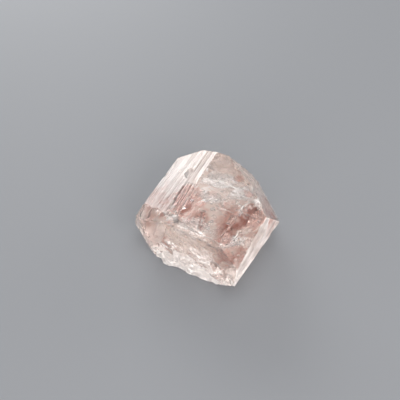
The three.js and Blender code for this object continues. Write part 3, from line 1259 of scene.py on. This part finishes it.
@dataclass(frozen=True)
class Flaws:
    """A cloud of small cracks about a place [across, along, depth] where it shows on the top face."""

    centre: Corner
    radii: Corner
    count: int
    sizes: Point2 = (0.5, 1.3)
    steepest: float = 50.0
    frost: float = 0.5
    seed: int = 1

    def cracks(self) -> list[Crack]:
        """The cloud's cracks, each with its own place, heading, dip and size.

        Returns:
            The cracks.
        """
        random = np.random.default_rng(200 + self.seed)
        found = []
        for number in range(self.count):
            away = random.normal(size=3)
            away *= random.uniform() ** 0.4 / np.linalg.norm(away)
            across, along, depth = np.array(self.centre) + away * np.array(self.radii)
            length, fall = random.uniform(*self.sizes, 2)
            heading = random.uniform(0.0, 2 * math.pi)
            end = (across + length * math.cos(heading), along + length * math.sin(heading))
            dip = random.uniform(-self.steepest, self.steepest)
            frost = self.frost * random.uniform(0.0, 2.0)
            seed = 40 * self.seed + number
            line = ((across, along), end)
            look = {"crumple": 0.2, "size": 0.9, "frost": frost, "band": 0.15, "columns": 11, "rows": 8}
            found.append(Crack(line, max(depth, 0.3), fall, dip, seed=seed, **look))
        return found


FLAWS = (
    Flaws((1.0, -1.0, 1.4), (3.6, 2.4, 1.0), 11, seed=1),
    Flaws((4.5, 4.0, 1.4), (4.6, 2.0, 1.0), 12, (0.5, 1.4), seed=2),
    Flaws((0.8, 5.6, 1.2), (3.6, 1.6, 0.8), 10, seed=8),
    Flaws((8.6, 4.8, 1.2), (2.8, 2.0, 0.8), 11, (0.5, 1.5), seed=9),
    Flaws((4.2, -5.0, 1.3), (2.0, 3.4, 0.8), 9, seed=5),
    Flaws((9.4, -0.5, 1.2), (3.2, 2.6, 0.8), 10, (0.5, 1.4), steepest=75.0, frost=0.1, seed=3),
    Flaws((10.6, -10.2, 1.6), (2.2, 2.6, 1.0), 11, (0.5, 1.5), steepest=75.0, frost=0.1, seed=14),
    Flaws((1.6, -9.0, 1.6), (3.0, 3.0, 1.0), 10, (0.5, 1.4), seed=16),
    Flaws((-3.6, -6.0, 1.6), (2.4, 4.0, 0.8), 6, steepest=75.0, frost=0.1, seed=17),
)


def grid_triangles(body: CrystalBody, points: Array) -> tuple[Array, Array]:
    """The triangles of the closed surface that a grid spans, with each pole once.

    Each grid cell is parted along the diagonal whose middle lies nearer the body's surface.

    Args:
        body: The flat-faced body.
        points: Hull points [columns, rows, 3], before relief.

    Returns:
        The index of each grid point's vertex, and the triangles.
    """
    columns, rows = points.shape[:2]
    index = 1 + np.arange(columns * (rows - 2)).reshape(columns, rows - 2)
    index = np.pad(index, ((0, 0), (1, 1)), constant_values=((0, 0), (0, columns * (rows - 2) + 1)))
    following, turned = np.roll(points, -1, axis=0), np.roll(index, -1, axis=0)
    one = body.heights((points[:, :-1] + following[:, 1:]) / 2).max(axis=-1)
    two = body.heights((points[:, 1:] + following[:, :-1]) / 2).max(axis=-1)
    split = (one >= two)[..., None]
    a, b, c, d = index[:, :-1], index[:, 1:], turned[:, 1:], turned[:, :-1]
    first = np.where(split, np.stack([c, b, a], -1), np.stack([d, b, a], -1))
    second = np.where(split, np.stack([d, c, a], -1), np.stack([d, c, b], -1))
    triangles = np.concatenate([first.reshape(-1, 3), second.reshape(-1, 3)])
    solid = np.all(triangles != np.roll(triangles, 1, axis=1), axis=1)
    return index, triangles[solid]


def placed(points: Array) -> Array:
    """Turns points of the crystal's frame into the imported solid's frame, in metres, not yet centred."""
    return points @ AXES * MM


def linked(name: str, data: bpy.types.ID) -> bpy.types.Object:
    """A new object in the scene.

    Args:
        name: The object's name.
        data: What it holds: a mesh, a light or a camera.

    Returns:
        The object.
    """
    thing = bpy.data.objects.new(name, data)
    bpy.context.scene.collection.objects.link(thing)
    return thing


def mesh_object(name: str, vertices: Array, triangles: Array) -> bpy.types.Object:
    """A mesh object from arrays.

    Args:
        name: The object's name.
        vertices: Places in metres [n, 3].
        triangles: Vertex numbers [m, 3].

    Returns:
        The object, linked to the scene.
    """
    mesh = bpy.data.meshes.new(name)
    mesh.vertices.add(len(vertices))
    mesh.vertices.foreach_set("co", vertices.astype(np.float32).ravel())
    mesh.loops.add(triangles.size)
    mesh.loops.foreach_set("vertex_index", triangles.astype(np.int32).ravel())
    mesh.polygons.add(len(triangles))
    mesh.polygons.foreach_set("loop_start", np.arange(0, triangles.size, 3, dtype=np.int32))
    mesh.update(calc_edges=True)
    mesh.validate()
    return linked(name, mesh)


@dataclass
class Crystal:
    """The whole crystal: its outer surface, the open cracks inside it, and its finish."""

    smooth_up_to: float = math.radians(16)

    def build(self) -> bpy.types.Object:
        """Makes the crystal's mesh in its place.

        Returns:
            The crystal.
        """
        body = CrystalBody()
        cracks = [*CRACKS, *VEILS, *(crack for flaws in FLAWS for crack in flaws.cracks())]
        whole = joined([Dressing(Relief(body)).skin(), *(crack.film(body) for crack in cracks)])
        places = placed(whole.points)
        low, high = (np.array(corner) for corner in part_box(NODE))
        shift = (low + high) / 2 - (places.max(axis=0) + places.min(axis=0)) / 2
        places = np.clip(places + shift, low, high)
        crystal = mesh_object("clear_topaz_crystal", places, whole.triangles)
        mesh = crystal.data
        for trait, values in whole.traits.items():
            layer = mesh.attributes.new(trait.value, "FLOAT", "POINT")
            layer.data.foreach_set("value", values.astype(np.float32))
        mesh.polygons.foreach_set("use_smooth", np.ones(len(mesh.polygons), bool))
        mesh.set_sharp_from_angle(angle=self.smooth_up_to)
        mesh.materials.append(ClearTopaz().material())
        return crystal


# ---------------------------------------------------------------- finishes


@dataclass(frozen=True)
class Value:
    """A number that a material works out: arithmetic on it adds Math nodes."""

    tree: "Nodes"
    socket: bpy.types.NodeSocket

    def _math(self, operation: str, first: "Value | float", second: "Value | float") -> "Value":
        """The value of a Math node with two operands."""
        node = self.tree.add("Math", {0: first, 1: second}, {"operation": operation})
        return Value(self.tree, node.outputs[0])

    def __add__(self, other: "Value | float") -> "Value":
        """Self plus other."""
        return self._math("ADD", self, other)

    def __mul__(self, other: "Value | float") -> "Value":
        """Self times other."""
        return self._math("MULTIPLY", self, other)

    def __sub__(self, other: "Value | float") -> "Value":
        """Self minus other."""
        return self._math("SUBTRACT", self, other)

    def __rsub__(self, other: float) -> "Value":
        """Other minus self."""
        return self._math("SUBTRACT", other, self)

    __radd__ = __add__
    __rmul__ = __mul__

    def clamped(self) -> "Value":
        """Self held between 0 and 1."""
        return Value(self.tree, self.tree.add("Clamp", {"Value": self}).outputs[0])

    def step(self, low: float, high: float) -> "Value":
        """A smooth step.

        Args:
            low: Where it starts, at 0.
            high: Where it ends, at 1.

        Returns:
            The step's height.
        """
        inputs = {"Value": self, "From Min": low, "From Max": high}
        node = self.tree.add("MapRange", inputs, {"interpolation_type": "SMOOTHSTEP"})
        return Value(self.tree, node.outputs[0])


@dataclass
class Nodes:
    """A material's node tree."""

    tree: bpy.types.NodeTree

    def add(
        self, kind: str, inputs: dict[str | int, object], settings: dict[str, object] | None = None
    ) -> bpy.types.Node:
        """Adds a node.

        Args:
            kind: The node's type, without its prefix.
            inputs: Its sockets' values, or what feeds them.
            settings: Its own settings, set first.

        Returns:
            The node.
        """
        node = self.tree.nodes.new("ShaderNode" + kind)
        for name, setting in (settings or {}).items():
            setattr(node, name, setting)
        self.feed(node, inputs)
        return node

    def feed(self, node: bpy.types.Node, inputs: dict[str | int, object]) -> None:
        """Sets a node's sockets, or links what feeds them.

        Args:
            node: The node.
            inputs: Its sockets' values, or what feeds them.
        """
        for name, given in inputs.items():
            source = given.socket if isinstance(given, Value) else given
            if isinstance(source, bpy.types.NodeSocket):
                self.tree.links.new(source, node.inputs[name])
            else:
                node.inputs[name].default_value = source

    def attribute(self, trait: Trait) -> Value:
        """A trait of the surface, as the mesh holds it."""
        node = self.add("Attribute", {}, {"attribute_name": trait.value})
        return Value(self, node.outputs["Fac"])

    def places(self, stretch: Corner) -> bpy.types.NodeSocket:
        """Object coordinates in millimetres along the crystal's own axes, stretched on each.

        Args:
            stretch: Factors across, along and up.

        Returns:
            The coordinates' socket.
        """
        source = self.add("TexCoord", {}).outputs["Object"]
        inputs = {"Vector": source, "Rotation": (0.0, 0.0, AXIS_TURN), "Scale": (1.0 / MM,) * 3}
        turned = self.add("Mapping", inputs).outputs[0]
        return self.add("VectorMath", {0: turned, 1: stretch}, {"operation": "MULTIPLY"}).outputs[0]

    def noise(self, stretch: Corner, detail: float = 3.0, roughness: float = 0.55) -> Value:
        """Fractal noise along the crystal's axes.

        Args:
            stretch: Features for each millimetre across, along and up.
            detail: How many finer layers it has.
            roughness: How strong they are.

        Returns:
            The noise, from 0 to 1.
        """
        inputs = {"Vector": self.places(stretch), "Scale": 1.0}
        node = self.add("TexNoise", {**inputs, "Detail": detail, "Roughness": roughness})
        return Value(self, node.outputs[0])

    def colour(self, factor: Value, first: Corner, second: Corner) -> bpy.types.NodeSocket:
        """A colour between two."""
        inputs = {"Factor": factor, 6: (*first, 1.0), 7: (*second, 1.0)}
        return self.add("Mix", inputs, {"data_type": "RGBA"}).outputs[2]


@dataclass
class TopazSurface:
    """What changes over the crystal's surface: its frost, its tint with painted shade, and its fine
    unevenness.
    """

    nodes: Nodes
    polish: float = 0.015
    line_height: float = 0.03
    grit_height: float = 0.06
    tear_height: float = 0.16
    splinter_height: float = 0.1

    def __post_init__(self) -> None:
        """Reads the traits and makes the noises that several of them share."""
        traits = (self.nodes.attribute(trait) for trait in Trait)
        self.frost, self.blush, self.grain, self.lines, self.fluff = traits
        self.streaks = self.nodes.noise((4.6, 0.05, 4.6), 1.5)
        self.speckle = self.nodes.noise((5.5, 5.5, 5.5), 3.0)
        self.torn = self.nodes.noise((1.1, 2.8, 2.4), 6.0, 0.62)
        self.splinters = self.nodes.noise((2.0, 4.2, 3.4), 5.0, 0.66)
        self.tufts = self.torn.step(0.48, 0.58) * 0.9 + self.splinters.step(0.5, 0.58) * 0.9

    def coverage(self) -> Value:
        """How much of the surface frost covers: in patches, along growth lines, or in torn tufts.

        Returns:
            The share that is frosted.
        """
        patchy = self.nodes.noise((1.1, 1.1, 1.1), 5.0).step(0.36, 0.58) * 0.75 + 0.32
        lined = self.streaks.step(0.34, 0.62) * 0.35 + 0.75
        ground = patchy + self.lines * (lined - patchy)
        return (self.frost * (ground + self.fluff * (self.tufts - ground))).clamped()

    def whiteness(self) -> Value:
        """How white the frost is: thin frost is satin, and light passes through it."""
        etching = self.frost.step(0.2, 1.2)
        return (etching + self.fluff * (self.tufts - etching)).clamped()

    def pink_and_shade_depth(self) -> Value:
        """How deep the pink and the painted shade are, in soft veins along the c axis."""
        veins = self.nodes.noise((1.6, 0.6, 1.6), 5.0, 0.6)
        return (self.blush * (veins.step(0.38, 0.6) * 0.5 + 0.64)).clamped()

    def roughness(self) -> Value:
        """How rough the clear surface is."""
        return self.grain * 0.25 * self.speckle + self.frost * 0.22 + self.polish

    def normal(self) -> bpy.types.NodeSocket:
        """A bump of growth lines, grit and torn splinters, with heights in millimetres.

        Returns:
            The normal's socket.
        """
        fine = self.streaks * (self.lines * self.line_height)
        grit = self.speckle * (self.grain * self.grit_height + self.frost * 0.01 + 0.002)
        splinters = self.torn * self.tear_height + self.splinters * self.splinter_height
        torn = self.fluff * (self.grain * 2.0 + 1.0) * splinters
        inputs = {"Height": (fine + grit + torn) * MM, "Distance": 1.0, "Strength": 1.0}
        return self.nodes.add("Bump", inputs).outputs[0]


@dataclass(frozen=True)
class ClearTopaz:
    """Clear topaz, faintly pink in depth, frosted where it is etched or broken."""

    tint: Corner = (1.0, 0.985, 0.975)
    # Deepest pink of the clear glass, partly the topaz's own and partly painted shade.
    blush_tint: Corner = (0.75, 0.41, 0.355)
    frost_colour: Corner = (0.97, 0.92, 0.89)
    satin_colour: Corner = (0.99, 0.96, 0.95)
    # Dark pink of satin and frost, partly the topaz's own and partly painted shade.
    frost_blush: Corner = (0.52, 0.275, 0.225)
    frost_roughness: float = 0.5
    satin_roughness: float = 0.42
    depth_colour: Corner = (0.878, 0.742, 0.668)
    depth_strength: float = 26.0

    def material(self) -> bpy.types.Material:
        """Clear glass, with satin to white frost over a share of it, tinted in depth.

        Returns:
            The material.
        """
        material = bpy.data.materials.new("clear_topaz")
        material.use_nodes = True
        nodes = Nodes(material.node_tree)
        surface = TopazSurface(nodes)
        pink, normal = surface.pink_and_shade_depth(), surface.normal()
        clear = {"Transmission Weight": 1.0, "IOR": REFRACTION, "Normal": normal}
        glass = material.node_tree.nodes["Principled BSDF"]
        # The pink trait tints glass, satin and frost: partly own pink, partly painted shade.
        tint = nodes.colour(pink, self.tint, self.blush_tint)
        nodes.feed(glass, {"Base Color": tint, "Roughness": surface.roughness(), **clear})
        tint = nodes.colour(pink, self.satin_colour, self.frost_blush)
        look = {"Base Color": tint, "Roughness": self.satin_roughness, **clear}
        satin = nodes.add("BsdfPrincipled", look)
        tint = nodes.colour(pink, self.frost_colour, self.frost_blush)
        look = {"Base Color": tint, "Roughness": self.frost_roughness, "Normal": normal}
        white = nodes.add("BsdfPrincipled", look)
        mix = {0: surface.whiteness(), 1: satin.outputs[0], 2: white.outputs[0]}
        frosted = nodes.add("MixShader", mix)
        mix = {0: surface.coverage(), 1: glass.outputs[0], 2: frosted.outputs[0]}
        skin = nodes.add("MixShader", mix)
        look = {"Color": (*self.depth_colour, 1.0), "Density": self.depth_strength}
        depth = nodes.add("VolumeAbsorption", look)
        output = material.node_tree.nodes["Material Output"]
        nodes.feed(output, {"Surface": skin.outputs[0], "Volume": depth.outputs[0]})
        return material


@dataclass(frozen=True)
class FloorFinish:
    """Plain pale grey board."""

    colour: Corner = (0.206, 0.213, 0.226)
    roughness: float = 0.75

    def material(self) -> bpy.types.Material:
        """Makes the floor's finish.

        Returns:
            The material.
        """
        material = bpy.data.materials.new("pale_board")
        material.use_nodes = True
        look = {"Base Color": (*self.colour, 1.0), "Roughness": self.roughness}
        Nodes(material.node_tree).feed(material.node_tree.nodes["Principled BSDF"], look)
        return material


@dataclass(frozen=True)
class Softbox:
    """A soft rectangular light that faces the crystal, in metres."""

    name: str
    towards: Corner
    distance: float
    size: Point2
    radiance: float
    colour: Corner = (1.0, 1.0, 1.0)

    def build(self) -> None:
        """Hangs the light."""
        light = bpy.data.lights.new(self.name, "AREA")
        light.shape = "RECTANGLE"
        light.size, light.size_y = self.size
        light.color = self.colour
        light.energy = self.radiance * math.pi * self.size[0] * self.size[1]
        way = Vector(self.towards).normalized()
        facing = way.to_track_quat("Z", "Y").to_matrix().to_4x4()
        linked(self.name, light).matrix_world = Matrix.Translation(way * self.distance) @ facing


@dataclass
class Studio:
    """The floor and the soft lights, in metres, and the camera, placed in millimetres."""

    floor_half: float = 0.42
    floor_gap: float = 0.00005
    room_colour: Corner = (0.97, 0.985, 1.0)
    room_strength: float = 0.62
    lens: float = 55.0
    elevation: float = VIEW_ELEVATION
    distance: float = 146.7
    aim: Corner = (-1.88, 2.51, 11.05)
    softboxes: tuple[Softbox, ...] = (
        Softbox("window", (-0.333, 0.862, 0.380), 0.45, (0.3, 0.26), 5.7),
        Softbox("overhead", (0.1, -0.05, 1.0), 0.5, (0.3, 0.3), 2.4),
        Softbox("front", (0.45, -0.8, 0.5), 0.5, (0.3, 0.3), 5.0, (1.0, 0.96, 0.94)),
        Softbox("low_front", (-0.15, -0.95, 0.22), 0.5, (0.5, 0.16), 8.2, (1.0, 0.98, 0.97)),
        Softbox("left", (-0.95, -0.15, 0.28), 0.5, (0.35, 0.25), 1.0),
        Softbox("right", (0.9, 0.35, 0.28), 0.5, (0.35, 0.25), 2.0, (1.0, 0.96, 0.93)),
    )

    def build(self) -> bpy.types.Object:
        """Makes the floor, the lights and the camera.

        Returns:
            The floor.
        """
        square = np.array([[-1, -1, 0], [1, -1, 0], [1, 1, 0], [-1, 1, 0]]) * self.floor_half
        corners = square - [0.0, 0.0, self.floor_gap]
        floor = mesh_object("floor", corners, np.array([[0, 1, 2], [0, 2, 3]]))
        floor.data.materials.append(FloorFinish().material())
        for softbox in self.softboxes:
            softbox.build()
        self.light_room()
        self.place_camera()
        return floor

    def light_room(self) -> None:
        """Surrounds the crystal with even pale light."""
        world = bpy.data.worlds.new("soft_room")
        world.use_nodes = True
        look = {"Color": (*self.room_colour, 1.0), "Strength": self.room_strength}
        Nodes(world.node_tree).feed(world.node_tree.nodes["Background"], look)
        bpy.context.scene.world = world

    def place_camera(self) -> None:
        """Looks down at the crystal from the front."""
        lens = bpy.data.cameras.new("camera")
        lens.lens = self.lens
        lens.clip_start = MM
        camera = linked("camera", lens)
        view = Vector((0.0, -math.cos(self.elevation), math.sin(self.elevation)))
        right = Vector((1.0, 0.0, 0.0))
        turn = Matrix((right, view.cross(right), view)).transposed().to_4x4()
        place = (Vector(self.aim) + view * self.distance) * MM
        camera.matrix_world = Matrix.Translation(place) @ turn
        bpy.context.scene.camera = camera


def set_rendering() -> None:
    """Lets light pass through many faces, and keeps colours as they are."""
    scene = bpy.context.scene
    scene.view_settings.view_transform = "Standard"
    scene.cycles.max_bounces = 24
    scene.cycles.transmission_bounces = 24
    scene.cycles.sample_clamp_indirect = 8.0


def main() -> None:
    """Builds the crystal and the studio around it, and logs the triangle counts of both."""
    logging.basicConfig(level=logging.INFO, format="%(name)s: %(message)s")
    crystal = Crystal().build()
    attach(crystal, "root")
    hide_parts(NODE)
    floor = Studio().build()
    set_rendering()
    for piece in (crystal, floor):
        log.info("%s: %d triangles", piece.name, len(piece.data.polygons))


if __name__ == "__main__":
    main()
